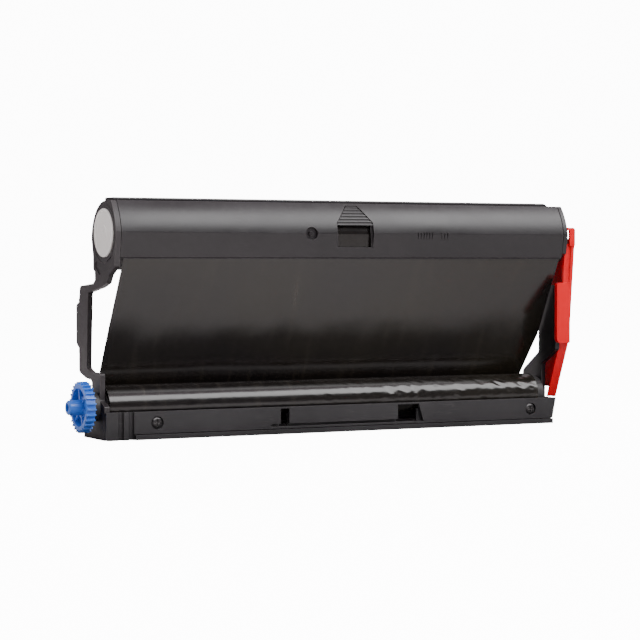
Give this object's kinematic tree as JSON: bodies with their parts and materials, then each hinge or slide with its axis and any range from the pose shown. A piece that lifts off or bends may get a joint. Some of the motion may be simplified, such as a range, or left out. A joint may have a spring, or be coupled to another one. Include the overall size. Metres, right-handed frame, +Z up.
{
  "type": "fax thermal transfer film cartridge",
  "caption": "Thermal transfer film cartridge for a fax machine: round supply housing, film web, take-up spool in an open tray, drive gear and shipping lock.",
  "frame": {"origin": "on the base plane, beneath the take-up spool's axis and midway between the side plates", "axes": "+X along the spools from the drive gear to the shipping lock, +Y to the back, +Z up"},
  "size_m": [0.242, 0.0491, 0.1022],
  "materials": {
    "black_plastic": "satin moulded black plastic",
    "film": "glossy black transfer film",
    "core_plastic": "plain moulded dark plastic",
    "grey_plastic": "plain moulded pale grey plastic",
    "blue_plastic": "semi-gloss moulded blue plastic",
    "red_plastic": "glossy moulded red plastic",
    "steel": "plated steel"
  },
  "bodies": {
    "frame": {"front_housing": "black_plastic", "rear_housing": "black_plastic", "left_side_plate": "black_plastic", "right_side_plate": "black_plastic", "lower_tray": "black_plastic", "front_bar": "black_plastic", "bar_screw_left": "steel", "bar_screw_right": "steel", "film_web": "film", "supply_brake_spring": "steel"},
    "supply_spool": {"supply_core": "core_plastic", "supply_film_roll": "film", "supply_end_cap": "grey_plastic", "supply_right_plug": "core_plastic"},
    "takeup_spool": {"takeup_core": "core_plastic", "takeup_film_roll": "film", "takeup_left_plug": "core_plastic", "takeup_right_plug": "core_plastic", "gear_spacer": "core_plastic", "drive_gear": "blue_plastic"},
    "catch": {"cover_catch": "black_plastic"},
    "lock": {"shipping_lock": "red_plastic"}
  },
  "joints": [
    {"name": "takeup_turn", "type": "hinge", "parent": "frame", "child": "takeup_spool", "pos_m": [0, 0, 0.0138], "axis": [1, 0, 0], "continuous": true},
    {"name": "supply_turn", "type": "hinge", "parent": "frame", "child": "supply_spool", "pos_m": [0, -0.0094, 0.0873], "axis": [1, 0, 0], "continuous": true},
    {"name": "catch_slide", "type": "hinge", "parent": "frame", "child": "catch", "pos_m": [0, 0.0041, 0.0836], "axis": [1, 0, 0], "range_deg": [0, 12]},
    {"name": "lock_pull", "type": "slide", "parent": "frame", "child": "lock", "axis": [1, 0, 0], "range_m": [0, 0.02]}
  ],
  "couplings": [
    {"joint": "supply_turn", "follows": "takeup_turn", "ratio": -0.8585}
  ]
}
